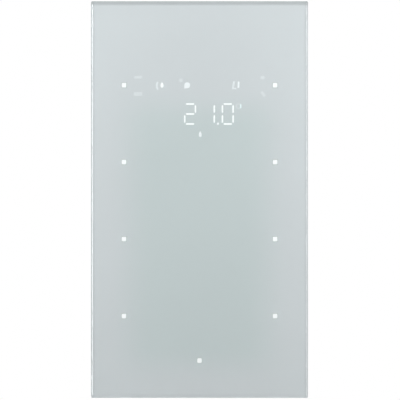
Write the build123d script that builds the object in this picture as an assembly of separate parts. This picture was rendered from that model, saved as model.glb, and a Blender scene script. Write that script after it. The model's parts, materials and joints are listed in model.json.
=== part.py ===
from build123d import *
import math
import os

# Frame: +X to the right and +Z up as seen from the front, the front looks along -Y.
# The origin is the middle of the support plate's back face, which lies on the wall.
# A level is a distance in front of the wall, so a point at level d has y = -d.

# Glass panel
glass_t = 3.2
glass_corner_r = 0.6
bevel_w = 1.3
bevel_depth = 0.9
bevel_corner_r = 0.2

# Back print, tape and foil behind the glass
print_t = 0.1
print_gap = 0.05
print_inset = 0.2
window_size = 2.1
tape_t = 0.3
tape_w = 5.0
tape_inset = 0.9
foil_t = 0.15
foil_gap = 0.4
foil_hole = 2.8
tail_w = 12.0
tail_bend_r = 0.8
tail_slot = 3.4
tail_gap = 12.0
tail_lie = 3.0

# Carrier frame
glass_overhang = 3.0
flange_lip = 0.9
body_r = 2.5
wall_t = 1.5
wall_gap = 0.4
web_t = 1.2
light_depth = 2.65
rib_t = 0.8
rib_h = 1.1
rib_x = 14.0
rib_gap = 9.5
rib_foot_gap = 5.4
cross_rib_drop = 3.0
header_rib_gap = 11.7
hold_pin = 2.4
fit_gap = 0.2
vent_w = 1.6
vent_h = 2.4
vent_pitch = 3.2
vent_count = 8

# Cover screws and their bosses
boss_size = 5.2
boss_merge = 0.3
screw_r = 1.0
screw_head_r = 1.9
screw_head_h = 1.0
screw_reach = 3.2
screw_play = 0.06

# Light guides and status lamps
status_inset = 3.3
status_top_inset = 34.0
status_bottom_inset = 33.2
status_count = 4
operation_inset = 3.1
guide_size = 2.0
guide_flange = 3.2
guide_flange_t = 0.8
guide_play = 0.05
shaft_size = 5.0
shaft_bore = 3.5
shaft_gap = 0.15
lamp_w = 1.6
lamp_d = 1.0
lamp_h = 0.65
lamp_gap = 0.2

# Display: light box, film and chips
display_drop = 11.7
digit_pitch = 7.66
digit_count = 4
segment_column = 4.3
segment_row = 4.05
segment_w = 0.8
segment_gap = 0.45
point_size = 0.9
point_offset = 3.5
degree_offset = 4.8
degree_rise = 3.1
degree_w = 2.8
degree_h = 3.4
light_box_gap = 0.6
light_box_h = 28.0
light_box_rise = 2.7
film_t = 0.15
chip_l = 1.0
chip_w = 0.6
chip_h = 0.5

# Symbol wells: x and z from the light box's centre, then width and height,
# as shares of its half width and half height
symbol_well_shares = (
    (-0.60, 0.64, 0.22, 0.34),
    (-0.22, 0.66, 0.22, 0.34),
    (0.55, 0.64, 0.22, 0.34),
    (-0.89, 0.85, 0.14, 0.14),
    (-0.89, 0.37, 0.14, 0.14),
    (0.90, 0.85, 0.14, 0.14),
    (0.90, 0.37, 0.14, 0.14),
    (0.01, -0.79, 0.12, 0.24),
)

# Main board
board_t = 1.2
board_clear = 0.1
tab_gap = 0.8
board_end_gap = 1.8
notch_gap = 0.4
controller_size = 9.0
controller_h = 1.0
package_corner = 0.8
lead_count = 4
lead_w = 0.5
lead_reach = 0.8
lead_h = 0.25
touch_size = 6.0
touch_h = 0.9
crystal_w = 5.0
crystal_h = 3.2
crystal_t = 1.0
connector_w = 15.0
connector_h = 3.6
connector_t = 1.1
connector_slot = 0.5
passive_w = 1.6
passive_h = 0.8
passive_spacing = 2.6
passive_count = 5
probe_x = 16.0
probe_r = 1.1
probe_l = 2.4
probe_lead = 0.5
probe_spread = 0.6
probe_drop = 2.2

# Rear cover
cover_gap = 0.3
cover_t = 1.2
cover_play = 0.2
rim_t = 1.0
rim_h = 1.4
post_size = 3.2
peg_size = 1.6
peg_play = 0.1
peg_h = 1.0
head_room = 2.4
dome_t = 0.8
box_screw_head_r = 3.2
box_screw_r = 1.6
dome_play = 0.3

# Turret that reaches into the lower wall box
turret_depth = 15.0
turret_wall = 1.5
turret_r = 2.5
turret_gap = 1.8
ledge_reach = 3.0
ledge_w = 3.0
ledge_share = 0.8
coupler_post_h = 9.3
recess_w = 12.4
recess_h = 11.4
recess_depth = 7.0
recess_t = 1.2
recess_shares = (-0.42, -0.46)
side_slot_w = 1.4
side_slot_l = 6.0
side_slot_pitch = 3.2
side_slot_count = 4

# Coupler board and what it carries, with places as shares of the turret's inner half width
coupler_t = 1.2
coupler_gap = 0.4
capacitor_r = 4.0
capacitor_h = 8.0
capacitor_foot = 0.8
capacitor_shares = (0.52, -0.50)
choke_size = 8.0
choke_h = 4.5
choke_corner = 1.6
choke_shares = (-0.50, 0.36)
transceiver_w = 7.5
transceiver_h = 10.0
transceiver_t = 2.3
transceiver_shares = (0.12, 0.28)
header_spacing = 2.54
header_count = 6
header_h = 2.5
header_pin = 0.64
header_share = 0.76

# Programming button and lamp
switch_size = 6.0
switch_h = 3.5
button_shares = (0.68, 0.40)
button_r = 1.7
button_play = 0.08
button_flange = 4.8
button_flange_t = 0.7
button_travel = 0.4
button_stop_gap = 0.1
button_sink = 0.3
guide_tube_t = 1.0
guide_tube_l = 3.0
led_shares = (0.68, -0.02)
led_r = 1.5
led_rim = 3.6
led_rim_t = 0.8
led_proud = 0.3
led_lead = 0.5
led_lead_spread = 1.27

# Bus pins and terminals
pin_size = 1.0
pin_play = 0.1
pin_pitch = 5.9
pin_reach = 6.8
pin_base_w = 9.0
pin_base_h = 3.0
terminal_w = 5.9
terminal_h = 10.8
terminal_l = 10.0
terminal_seat = 0.2
terminal_edge = 0.4
terminal_wall = 0.5
terminal_bore_l = 8.0
wire_hole_r = 0.55
wire_hole_l = 6.0
wire_spacing_x = 2.4
wire_spacing_z = 4.8
wire_turn = 15

# Support plate and its screw slots
plate_t = 1.2
plate_reach = 36.0
plate_end_gap = 4.5
plate_corner_r = 4.0
latch_room = 3.5
window_gap = 2.0
window_corner = 4.0
box_pitch = 71.0
box_screw_pitch = 60.0
slot_l = 8.0
slot_w = 4.2
slot_margin = 2.0

# Latch tabs, springs and the ridges that they snap behind
tab_w = 8.0
tab_bend_r = 1.2
tab_clear = 0.35
tab_root = 3.0
relief_w = 1.2
latch_notch_play = 1.5
spring_w = 6.0
spring_t = 0.4
spring_bulge = 2.1
spring_nose_l = 0.5
spring_foot = 2.5
spring_end_gap = 0.5
ridge_l = 9.0
ridge_reach = 1.95
ridge_flat = 0.8

# Locking screw at the bottom edge
lock_tab_w = 10.0
lock_level = 4.6
lock_hole_r = 1.5
lock_screw_r = 1.25
lock_head_r = 2.1
lock_head_h = 1.6
lock_travel = 2.6
lock_rest_gap = 0.3
lock_boss_w = 6.0
insert_size = 4.4
insert_l = 3.0
insert_play = 0.06
slot_cut_w = 0.6

# How far a cut runs past the body that it opens
overrun = 1.0

# Levels, in front of the wall
plate_front = plate_t
cover_back = plate_front + cover_gap
cover_front = cover_back + cover_t
dome_front = plate_front + head_room + dome_t
board_front = dome_front + board_clear
board_back = board_front - board_t
web_back = board_front + light_depth
web_front = web_back + web_t
print_back = web_front + tape_t
print_front = print_back + print_t
glass_back = print_front + print_gap
glass_front = glass_back + glass_t
tab_tip = web_back - tab_clear
foil_back = print_back - foil_t

# Levels behind the wall are negative
turret_floor = turret_wall - turret_depth
coupler_back = turret_floor + coupler_post_h
coupler_front = coupler_back + coupler_t
recess_floor = recess_depth - turret_depth
recess_back = recess_floor + recess_t
terminal_front = recess_floor - terminal_seat
pin_tip = terminal_front - pin_reach
switch_top = coupler_back - switch_h
button_base = switch_top - button_travel - button_stop_gap
button_end = button_sink - turret_depth

# Widths and heights: the plate spans the box screws, the housing the plate, the glass the housing
plate_w = box_screw_pitch + slot_l + 2 * slot_margin
inner_w = plate_w + 2 * latch_room
body_w = inner_w + 2 * wall_t
panel_w = body_w + 2 * glass_overhang
plate_h = box_pitch + 2 * plate_reach
inner_h = plate_h + 2 * plate_end_gap
body_h = inner_h + 2 * wall_t
panel_h = body_h + 2 * glass_overhang
flange_w = body_w + 2 * flange_lip
flange_h = body_h + 2 * flange_lip
cover_w = inner_w - 2 * cover_play
cover_h = inner_h - 2 * cover_play
board_w = plate_w - 2 * (plate_t + tab_gap)
board_h = plate_h - 2 * (plate_t + board_end_gap)

# Where the lamps are
status_x = board_w / 2 - status_inset
status_pitch = (panel_h - status_top_inset - status_bottom_inset) / (status_count - 1)
status_zs = [panel_h / 2 - status_top_inset - row * status_pitch for row in range(status_count)]
operation_z = operation_inset - board_h / 2
guide_places = {"operation_guide": (0, operation_z)}
for row, row_z in enumerate(status_zs, start=1):
    guide_places[f"status_guide_left_{row}"] = (-status_x, row_z)
    guide_places[f"status_guide_right_{row}"] = (status_x, row_z)

# The display's digits and its light box
display_z = status_zs[0] - display_drop
digit_xs = [digit_pitch * (place - (digit_count - 1) / 2) for place in range(digit_count)]
light_box_w = 2 * (status_x - shaft_size / 2 - light_box_gap)
light_box_z = display_z + light_box_rise

# Box screws, their pockets and the turret between them
turret_z = -box_pitch / 2
box_screw_places = [
    (side * box_screw_pitch / 2, end * box_pitch / 2)
    for side in (-1, 1)
    for end in (-1, 1)
]
pocket_w = 2 * (box_screw_head_r + dome_play) + slot_w - 2 * box_screw_r
pocket_l = pocket_w + slot_l - slot_w
turret_w = box_screw_pitch - pocket_l - 2 * (dome_t + turret_gap)
turret_inner = turret_w - 2 * turret_wall
plate_window = turret_w + 2 * window_gap

# Ribs on the web's back, and the foil's tail between them
rib_top_z = light_box_z - light_box_h / 2 - rib_gap
rib_bottom_z = operation_z + rib_foot_gap
header_z = turret_z + header_share * turret_inner / 2
cross_rib_zs = (rib_top_z - cross_rib_drop, header_z - header_rib_gap)
tail_z = cross_rib_zs[0] - tail_gap

# Latches near the four corners, and the screws that close the housing
latch_z = (box_pitch + plate_reach) / 2
latch_places = {
    "top_left": (-1, latch_z),
    "top_right": (1, latch_z),
    "bottom_left": (-1, -latch_z),
    "bottom_right": (1, -latch_z),
}
latch_notch = tab_w + 2 * latch_notch_play
boss_z = (inner_h - boss_size) / 2 + boss_merge
boss_x = board_w / 2 + status_inset / 2
screw_places = [(side * boss_x, end * boss_z) for side in (-1, 1) for end in (-1, 1)]

# Posts under the main board, and the pins that hold it down
post_z = (board_h - post_size) / 2 - 2 * board_end_gap
post_places = [(side * rib_x, end * post_z) for side in (-1, 1) for end in (-1, 1)]
post_places += [(side * (board_w / 2 - post_size), 0) for side in (-1, 1)]


def panel_plane(level):
    """A plane parallel to the wall whose x is X, whose y is Z and which looks forward."""
    return Plane(origin=(0, -level, 0), x_dir=(1, 0, 0), z_dir=(0, -1, 0))


def side_plane(x):
    """A plane whose x is Z and whose y is the level, square to X."""
    return Plane(origin=(x, 0, 0), x_dir=(0, 0, 1), z_dir=(1, 0, 0))


def floor_plane(z):
    """A plane whose x is X and whose y is the level, looking down."""
    return Plane(origin=(0, 0, z), x_dir=(1, 0, 0), z_dir=(0, 0, -1))


def slab(outline, low, high):
    """An outline in X and Z, between two levels."""
    return extrude(panel_plane(low) * outline, amount=high - low)


def side_band(profile, x, width):
    """A profile in Z and level, spread evenly about x."""
    return extrude(side_plane(x) * profile, amount=width / 2, both=True)


def floor_band(profile, z, height):
    """A profile in X and level, spread evenly about z."""
    return extrude(floor_plane(z) * profile, amount=height / 2, both=True)


def block(x, z, width, height, low, high):
    return slab(Pos(x, z) * Rectangle(width, height), low, high)


def rod(x, z, radius, low, high):
    return slab(Pos(x, z) * Circle(radius), low, high)


def rounded(width, height, radius):
    return RectangleRounded(width, height, radius)


def in_turret(shares):
    """A place in the turret, from shares of its inner half width."""
    return (shares[0] * turret_inner / 2, turret_z + shares[1] * turret_inner / 2)


def mirrored(piece, side):
    """The piece made for the right side, or its mirror image for the left."""
    return piece if side > 0 else mirror(piece, about=Plane.YZ)


# Glass, print, tape and foil

def glass_panel():
    body = slab(rounded(panel_w, panel_h, glass_corner_r), glass_back, glass_front - bevel_depth)
    root = panel_plane(glass_front - bevel_depth) * rounded(panel_w, panel_h, glass_corner_r)
    face = rounded(panel_w - 2 * bevel_w, panel_h - 2 * bevel_w, bevel_corner_r)
    return body + loft([root, panel_plane(glass_front) * face], ruled=True)


def back_print():
    outline = Rectangle(panel_w - 2 * print_inset, panel_h - 2 * print_inset)
    for x, z in guide_places.values():
        outline -= Pos(x, z) * Rectangle(window_size, window_size)
    return slab(outline, print_back, print_front)


def bonding_tape():
    outer_w = flange_w - 2 * tape_inset
    outer_h = flange_h - 2 * tape_inset
    ring = Rectangle(outer_w, outer_h) - Rectangle(outer_w - 2 * tape_w, outer_h - 2 * tape_w)
    return slab(ring, web_front, print_back)


def touch_foil():
    foil_w = flange_w - 2 * (tape_inset + tape_w + foil_gap)
    foil_h = flange_h - 2 * (tape_inset + tape_w + foil_gap)
    outline = Rectangle(foil_w, foil_h)
    for x, z in guide_places.values():
        outline -= Pos(x, z) * Rectangle(foil_hole, foil_hole)
    slot_top = tail_z + tail_slot / 2
    slot_bottom = tail_z - tail_slot / 2
    outline -= Pos(0, tail_z) * Rectangle(tail_w, tail_slot)
    sheet = slab(outline, foil_back, print_back)
    root_level = foil_back + foil_t / 2
    lie_level = board_front + connector_slot
    path = FilletPolyline(
        (slot_top, root_level),
        (tail_z, root_level),
        (tail_z, lie_level),
        (slot_bottom - tail_lie, lie_level),
        radius=tail_bend_r,
    )
    return sheet + side_band(trace(path, line_width=foil_t), 0, tail_w - foil_gap)


# Light guides and lamps

def light_guide(x, z):
    tip = block(x, z, guide_size, guide_size, web_back, print_front)
    flange = block(x, z, guide_flange, guide_flange, web_back - guide_flange_t, web_back)
    foot = block(x, z, guide_size, guide_size, board_front + lamp_h + lamp_gap, web_back)
    return tip + flange + foot


def status_leds():
    return [block(x, z, lamp_w, lamp_d, board_front, board_front + lamp_h) for x, z in guide_places.values()]


# Display

def segment_places():
    """The seven segments of every digit: x, z and whether the segment lies flat."""
    places = []
    for digit_x in digit_xs:
        for row in (-1, 0, 1):
            places.append((digit_x, display_z + row * segment_row, True))
        for side in (-1, 1):
            for row in (-1, 1):
                x = digit_x + side * segment_column / 2
                places.append((x, display_z + row * segment_row / 2, False))
    return places


def point_places():
    return [(digit_x + point_offset, display_z - segment_row) for digit_x in digit_xs]


def symbol_wells():
    """The symbols' rectangular wells: x, z, width and height."""
    half_w = light_box_w / 2
    half_h = light_box_h / 2
    wells = []
    for x, z, width, height in symbol_well_shares:
        wells.append((x * half_w, light_box_z + z * half_h, width * half_w, height * half_h))
    wells.append((digit_xs[-1] + degree_offset, display_z + degree_rise, degree_w, degree_h))
    return wells


def segment_outline(x, z, flat):
    """A six-sided segment with pointed ends."""
    reach = (segment_column if flat else segment_row) / 2 - segment_gap / 2
    half = segment_w / 2
    outline = Polygon(
        (-reach, 0),
        (half - reach, -half),
        (reach - half, -half),
        (reach, 0),
        (reach - half, half),
        (half - reach, half),
        align=None,
    )
    return Pos(x, z) * (outline if flat else Rot(0, 0, 90) * outline)


def display_light_box():
    """A moulded block whose wells lead the light of one chip each to a segment or symbol."""
    box = block(0, light_box_z, light_box_w, light_box_h, board_front, web_front)
    wells = Sketch() + [segment_outline(*place) for place in segment_places()]
    wells += [Pos(x, z) * Rectangle(width, height) for x, z, width, height in symbol_wells()]
    wells += [Pos(x, z) * Rectangle(point_size, point_size) for x, z in point_places()]
    return box - slab(wells, board_front - overrun, web_front + overrun)


def display_film():
    width = light_box_w - 2 * fit_gap
    height = light_box_h - 2 * fit_gap
    return block(0, light_box_z, width, height, web_front, web_front + film_t)


def display_leds():
    chips = []
    top = board_front + chip_h
    for x, z, flat in segment_places():
        width, height = (chip_l, chip_w) if flat else (chip_w, chip_l)
        chips.append(block(x, z, width, height, board_front, top))
    for x, z in point_places() + [(x, z) for x, z, width, height in symbol_wells()]:
        chips.append(block(x, z, chip_w, chip_w, board_front, top))
    return chips


# Carrier frame

def latch_ridge(side, z):
    """The ridge inside the long wall that the spring's bulge snaps behind."""
    wall_x = inner_w / 2
    tip_x = wall_x - ridge_reach
    nose_low = (spring_top() + spring_bottom() - spring_nose_l) / 2
    nose_x = plate_w / 2 + spring_t + spring_bulge
    tip_high = nose_low - spring_t - (nose_x - tip_x)
    tip_low = tip_high - ridge_flat
    profile = Polygon(
        (wall_x + wall_t / 2, tip_high + ridge_reach),
        (wall_x, tip_high + ridge_reach),
        (tip_x, tip_high),
        (tip_x, tip_low),
        (wall_x, wall_gap),
        (wall_x + wall_t / 2, wall_gap),
        align=None,
    )
    return mirrored(floor_band(profile, z, ridge_l), side)


def carrier_openings():
    """What passes through the web: the display, the light guides and the foil's tail."""
    outline = Sketch() + Pos(0, light_box_z) * Rectangle(light_box_w + 2 * fit_gap, light_box_h + 2 * fit_gap)
    outline += Pos(0, tail_z) * Rectangle(tail_w + 2 * foil_gap, tail_slot)
    hole = guide_size + 2 * guide_play
    outline += [Pos(x, z) * Rectangle(hole, hole) for x, z in guide_places.values()]
    return slab(outline, web_back - overrun, web_front + overrun)


def light_shaft(x, z):
    tube = Rectangle(shaft_size, shaft_size) - Rectangle(shaft_bore, shaft_bore)
    return slab(Pos(x, z) * tube, board_front + shaft_gap, web_back)


def web_ribs():
    low = web_back - rib_h
    length = rib_top_z - rib_bottom_z
    middle = (rib_top_z + rib_bottom_z) / 2
    ribs = [block(side * rib_x, middle, rib_t, length, low, web_back) for side in (-1, 1)]
    span = 2 * (status_x - shaft_size / 2)
    ribs += [block(0, z, span, rib_t, low, web_back) for z in cross_rib_zs]
    return ribs


def wall_vents():
    """Slots in the top and bottom walls that let room air past the probe."""
    middle = (cover_front + web_back) / 2
    slots = []
    for end in (-1, 1):
        for place in range(vent_count):
            offset = vent_pitch * (place - (vent_count - 1) / 2)
            if end > 0 or abs(offset) > lock_boss_w / 2 + vent_w:
                z = end * (body_h / 2 - wall_t / 2)
                depth = wall_t + 2 * overrun
                slots.append(block(offset, z, vent_w, depth, middle - vent_h / 2, middle + vent_h / 2))
    return slots


def lock_bores():
    """The insert's seat and the screw head's pocket, up the middle of the bottom boss."""
    bottom = -body_h / 2
    head = floor_bore(lock_head_r + fit_gap, bottom - overrun, boss_inner_z() - insert_l)
    return head + floor_bar(insert_size, boss_inner_z() - insert_l, boss_inner_z())


def floor_bore(radius, low_z, high_z):
    """A round bar along Z on the locking screw's axis."""
    sketch = floor_plane(high_z) * (Pos(0, lock_level) * Circle(radius))
    return extrude(sketch, amount=high_z - low_z)


def floor_bar(size, low_z, high_z):
    """A square bar along Z on the locking screw's axis."""
    sketch = floor_plane(high_z) * (Pos(0, lock_level) * Rectangle(size, size))
    return extrude(sketch, amount=high_z - low_z)


def boss_inner_z():
    """The upper end of the bottom boss, just above the insert."""
    return lock_head_h + fit_gap + insert_l - body_h / 2


def carrier_frame():
    frame = slab(rounded(flange_w, flange_h, body_r), web_back, web_front)
    ring = rounded(body_w, body_h, body_r) - Rectangle(inner_w, inner_h)
    frame += slab(ring, wall_gap, web_back)
    frame += [light_shaft(x, z) for x, z in guide_places.values()]
    frame += web_ribs()
    frame += [block(x, z, boss_size, boss_size, cover_front, web_back) for x, z in screw_places]
    frame += [block(x, z, hold_pin, hold_pin, board_front, web_back) for x, z in post_places]
    frame += [latch_ridge(side, z) for side, z in latch_places.values()]
    frame += floor_bar(lock_boss_w, (wall_t - body_h) / 2, boss_inner_z())
    frame -= carrier_openings()
    pilot_end = cover_front + screw_reach
    frame -= [rod(x, z, screw_r + screw_play, cover_front - overrun, pilot_end) for x, z in screw_places]
    frame -= lock_bores()
    frame -= wall_vents()
    return frame


# Rear cover with the turret

def dome_outline(x, z, margin):
    """The outline of a box screw's pocket, grown by a margin."""
    return Pos(x, z) * Rectangle(pocket_l + 2 * margin, pocket_w + 2 * margin)


def cover_notches():
    """Edge notches for the latch tabs and, at the bottom, for the lock tab and its boss."""
    depth = latch_room + plate_t + tab_gap
    notches = Sketch()
    for side, z in latch_places.values():
        notches += Pos(side * (inner_w - depth) / 2, z) * Rectangle(depth, latch_notch)
    low = -inner_h / 2
    boss_top = boss_inner_z() + fit_gap
    tab_top = plate_t + tab_gap - plate_h / 2
    boss_gap = lock_boss_w + 2 * fit_gap
    tab_gap_w = lock_tab_w + 2 * tab_gap
    tab_low = -plate_h / 2 - tab_gap / 2
    notches += Pos(0, (low + boss_top) / 2) * Rectangle(boss_gap, boss_top - low)
    notches += Pos(0, (tab_low + tab_top) / 2) * Rectangle(tab_gap_w, tab_top - tab_low)
    return notches


def turret_fittings():
    """Inside the turret: ledges for the board, the terminal recess and the button's guide tube."""
    pieces = []
    for side in (-1, 1):
        for end in (-1, 1):
            x = side * (turret_inner + turret_wall - ledge_reach) / 2
            z = turret_z + end * ledge_share * turret_inner / 2
            pieces.append(block(x, z, ledge_reach, ledge_w, turret_floor, coupler_back))
    recess = in_turret(recess_shares)
    outer_w = recess_w + 2 * recess_t
    outer_h = recess_h + 2 * recess_t
    pieces.append(block(*recess, outer_w, outer_h, turret_floor, recess_back))
    tube = 2 * (button_r + button_play + guide_tube_t)
    pieces.append(block(*in_turret(button_shares), tube, tube, turret_floor, turret_floor + guide_tube_l))
    return pieces


def turret_openings():
    """Holes in the turret: recess, pin holes, button, lamp and side slots."""
    recess = in_turret(recess_shares)
    low = -turret_depth - overrun
    holes = [block(*recess, recess_w, recess_h, low, recess_floor)]
    for side in (-1, 1):
        pin_x = recess[0] + side * pin_pitch / 2
        holes.append(pin_bar(pin_x, recess[1], 2 * pin_play, recess_floor - overrun, recess_back + overrun))
    button_end_level = turret_floor + guide_tube_l + overrun
    holes.append(rod(*in_turret(button_shares), button_r + button_play, low, button_end_level))
    holes.append(rod(*in_turret(led_shares), led_r + button_play, low, turret_floor + overrun))
    slot_low = (coupler_back + turret_floor - side_slot_l) / 2
    for place in range(side_slot_count):
        z = turret_z + side_slot_pitch * (place - (side_slot_count - 1) / 2)
        holes.append(block(0, z, turret_w + 2 * overrun, side_slot_w, slot_low, slot_low + side_slot_l))
    return holes


def rear_cover():
    outline = Rectangle(cover_w, cover_h)
    rim = outline - Rectangle(cover_w - 2 * rim_t, cover_h - 2 * rim_t)
    clear = boss_size + 2 * fit_gap
    rim -= [Pos(x, z) * Rectangle(clear, clear) for x, z in screw_places]
    cover = slab(outline, cover_back, cover_front) + slab(rim, cover_front, cover_front + rim_h)
    cover += [slab(dome_outline(x, z, dome_t), cover_back, dome_front) for x, z in box_screw_places]
    turret = Pos(0, turret_z) * rounded(turret_w, turret_w, turret_r)
    cover += slab(turret, -turret_depth, cover_back)
    cover -= slab(cover_notches(), cover_back - overrun, cover_front + rim_h + overrun)
    cover -= block(0, turret_z, turret_inner, turret_inner, turret_floor, cover_front + overrun)
    cover += turret_fittings()
    cover += [block(x, z, post_size, post_size, cover_front, board_back) for x, z in post_places]
    cover += [block(x, z, peg_size, peg_size, board_back, board_back + peg_h) for x, z in peg_places()]
    pocket_top = dome_front - dome_t
    cover -= [slab(dome_outline(x, z, 0), cover_back - overrun, pocket_top) for x, z in box_screw_places]
    cover -= [screw_seat(x, z) for x, z in screw_places]
    cover -= turret_openings()
    return cover


def peg_places():
    """Two of the posts locate the board with a peg."""
    return [post_places[0], post_places[3]]


def screw_seat(x, z):
    """The countersunk hole of a cover screw."""
    mouth = rod(x, z, screw_head_r + screw_play, cover_back - overrun, cover_back)
    hole = rod(x, z, screw_r + screw_play, cover_back, cover_front + overrun)
    return mouth + screw_cone(x, z, screw_play) + hole


def screw_cone(x, z, play):
    low = panel_plane(cover_back) * (Pos(x, z) * Circle(screw_head_r + play))
    high = panel_plane(cover_back + screw_head_h) * (Pos(x, z) * Circle(screw_r + play))
    return loft([low, high])


def cover_screws():
    screws = []
    for x, z in screw_places:
        shank = rod(x, z, screw_r, cover_back + screw_head_h, cover_front + screw_reach - screw_play)
        screws.append(screw_cone(x, z, 0) + shank)
    return screws


# Main board and its parts

def header_pin_xs():
    return [header_spacing * (pin - (header_count - 1) / 2) for pin in range(header_count)]


def main_board():
    outline = Rectangle(board_w, board_h)
    inner_x = box_screw_pitch / 2 - pocket_l / 2 - dome_t - notch_gap
    notch_h = pocket_w + 2 * (dome_t + notch_gap)
    for x, z in box_screw_places:
        side = 1 if x > 0 else -1
        outline -= Pos(side * (inner_x + board_w / 2) / 2, z) * Rectangle(board_w / 2 - inner_x, notch_h)
    peg_hole = peg_size + 2 * peg_play
    outline -= [Pos(x, z) * Rectangle(peg_hole, peg_hole) for x, z in peg_places()]
    return slab(outline, board_back, board_front)


def flat_package(z, size, height):
    """A leadless chip package with one bevelled corner, on the board's middle line."""
    half = size / 2
    outline = Polygon(
        (-half, -half),
        (half, -half),
        (half, half),
        (package_corner - half, half),
        (-half, half - package_corner),
        align=None,
    )
    return slab(Pos(0, z) * outline, board_front, board_front + height)


def controller_z():
    """Midway between the lower cross rib and the lower end of the long ribs."""
    return (rib_bottom_z + cross_rib_zs[1]) / 2


def main_controller():
    return flat_package(controller_z(), controller_size, controller_h)


def touch_controller():
    z = (header_z + cross_rib_zs[1]) / 2
    return flat_package(z, touch_size, touch_h)


def crystal():
    z = controller_z() + controller_size
    return block(0, z, crystal_w, crystal_h, board_front, board_front + crystal_t)


def foil_connector():
    z = tail_z - tail_slot / 2 - tail_lie
    shell = block(0, z, connector_w, connector_h, board_front, board_front + connector_t)
    mouth_low = board_front + connector_slot - foil_t
    mouth_high = board_front + connector_slot + foil_t
    return shell - block(0, z + connector_h / 2, tail_w, connector_h + tail_lie, mouth_low, mouth_high)


def board_passives():
    """Small chip resistors and capacitors in two rows beside the controller."""
    pieces = []
    for side in (-1, 1):
        x = side * (rib_x + status_x) / 2
        for place in range(passive_count):
            z = controller_z() + passive_spacing * (place - (passive_count - 1) / 2)
            pieces.append(block(x, z, passive_w, passive_h, board_front, board_front + passive_h))
    return pieces


def temperature_probe():
    """A bead on two leads that stands off the board's lower edge, behind the vents."""
    edge = -board_h / 2
    level = board_front + probe_lead / 2
    bead_top = edge - probe_drop
    bead = extrude(floor_plane(bead_top) * (Pos(probe_x, level) * Circle(probe_r)), amount=probe_l)
    low_z = bead_top - probe_l / 2
    high_z = edge + probe_l
    for side in (-1, 1):
        x = probe_x + side * probe_spread
        middle = (low_z + high_z) / 2
        bead += block(x, middle, probe_lead, high_z - low_z, board_front, board_front + probe_lead)
    return bead


# Coupler board and its parts

def coupler_board():
    size = turret_inner - 2 * coupler_gap
    return block(0, turret_z, size, size, coupler_back, coupler_front)


def board_header():
    """A pin strip that joins the two boards."""
    length = header_count * header_spacing
    strip = block(0, header_z, length, header_spacing, coupler_front, coupler_front + header_h)
    for x in header_pin_xs():
        strip += block(x, header_z, header_pin, header_pin, coupler_front, board_back)
    return strip


def bus_transceiver():
    x, z = in_turret(transceiver_shares)
    top = coupler_back - transceiver_t
    body = block(x, z, transceiver_w, transceiver_h, top, coupler_back - lead_h / 2)
    pitch = transceiver_h / (lead_count + 1)
    for lead in range(lead_count):
        offset = pitch * (lead - (lead_count - 1) / 2)
        reach = transceiver_w + 2 * lead_reach
        body += block(x, z + offset, reach, lead_w, coupler_back - lead_h, coupler_back)
    return body


def storage_capacitor():
    x, z = in_turret(capacitor_shares)
    foot_top = coupler_back - capacitor_foot
    foot = block(x, z, 2 * capacitor_r, 2 * capacitor_r, foot_top, coupler_back)
    return foot + rod(x, z, capacitor_r, coupler_back - capacitor_h, foot_top)


def choke():
    x, z = in_turret(choke_shares)
    core = block(x, z, choke_size, choke_size, coupler_back - choke_h, coupler_back)
    return chamfer(core.edges().filter_by(Axis.Y), length=choke_corner)


def pin_bar(x, z, play, low, high):
    """A square bar on a bus pin's axis."""
    return block(x, z, pin_size + play, pin_size + play, low, high)


def bus_pins():
    """The pin base on the coupler board and the two pins in the recess."""
    x, z = in_turret(recess_shares)
    pins = block(x, z, pin_base_w, pin_base_h, recess_back, coupler_back)
    for side in (-1, 1):
        pins += pin_bar(x + side * pin_pitch / 2, z, 0, pin_tip, recess_back)
    return pins


def programming_switch():
    return block(*in_turret(button_shares), switch_size, switch_size, switch_top, coupler_back)


def programming_button():
    """A stem in the guide tube, with a flange that keeps it in."""
    place = in_turret(button_shares)
    stem = rod(*place, button_r, button_end, button_base)
    return stem + block(*place, button_flange, button_flange, button_base - button_flange_t, button_base)


def programming_led():
    """A round lamp with a square foot, standing off the coupler board on two leads."""
    x, z = in_turret(led_shares)
    base = turret_floor + led_rim_t
    body = rod(x, z, led_r, -turret_depth - led_proud, turret_floor)
    body += block(x, z, led_rim, led_rim, turret_floor, base)
    for side in (-1, 1):
        body += block(x + side * led_lead_spread / 2, z, led_lead, led_lead, base, coupler_back)
    return body


# Bus terminals

def bus_terminal(side):
    """One pole of the plug-on terminal: hollow in front round its pin socket, four wire holes behind."""
    recess = in_turret(recess_shares)
    x = recess[0] + side * terminal_w / 2
    z = recess[1]
    back = terminal_front - terminal_l
    body = block(x, z, terminal_w, terminal_h, back, terminal_front)
    body = chamfer(body.edges().filter_by(Axis.Y), length=terminal_edge)
    hollow_w = terminal_w - 2 * terminal_wall
    hollow_h = terminal_h - 2 * terminal_wall
    body -= block(x, z, hollow_w, hollow_h, back + wire_hole_l, terminal_front)
    pin_x = recess[0] + side * pin_pitch / 2
    body -= pin_bar(pin_x, z, 2 * pin_play, terminal_front - terminal_bore_l, terminal_front)
    turn = math.radians(wire_turn)
    for column in (-1, 1):
        for row in (-1, 1):
            across = column * wire_spacing_x / 2
            along = row * wire_spacing_z / 2
            hole_x = x + across * math.cos(turn) - along * math.sin(turn)
            hole_z = z + across * math.sin(turn) + along * math.cos(turn)
            body -= rod(hole_x, hole_z, wire_hole_r, back, back + wire_hole_l)
    return body


# Support plate and latch springs

def spring_top():
    """The level of the bulge's upper end, under the welded foot."""
    return tab_tip - spring_foot


def spring_bottom():
    """The level of the spring's free end, just clear of the plate."""
    return plate_front + spring_end_gap


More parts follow.
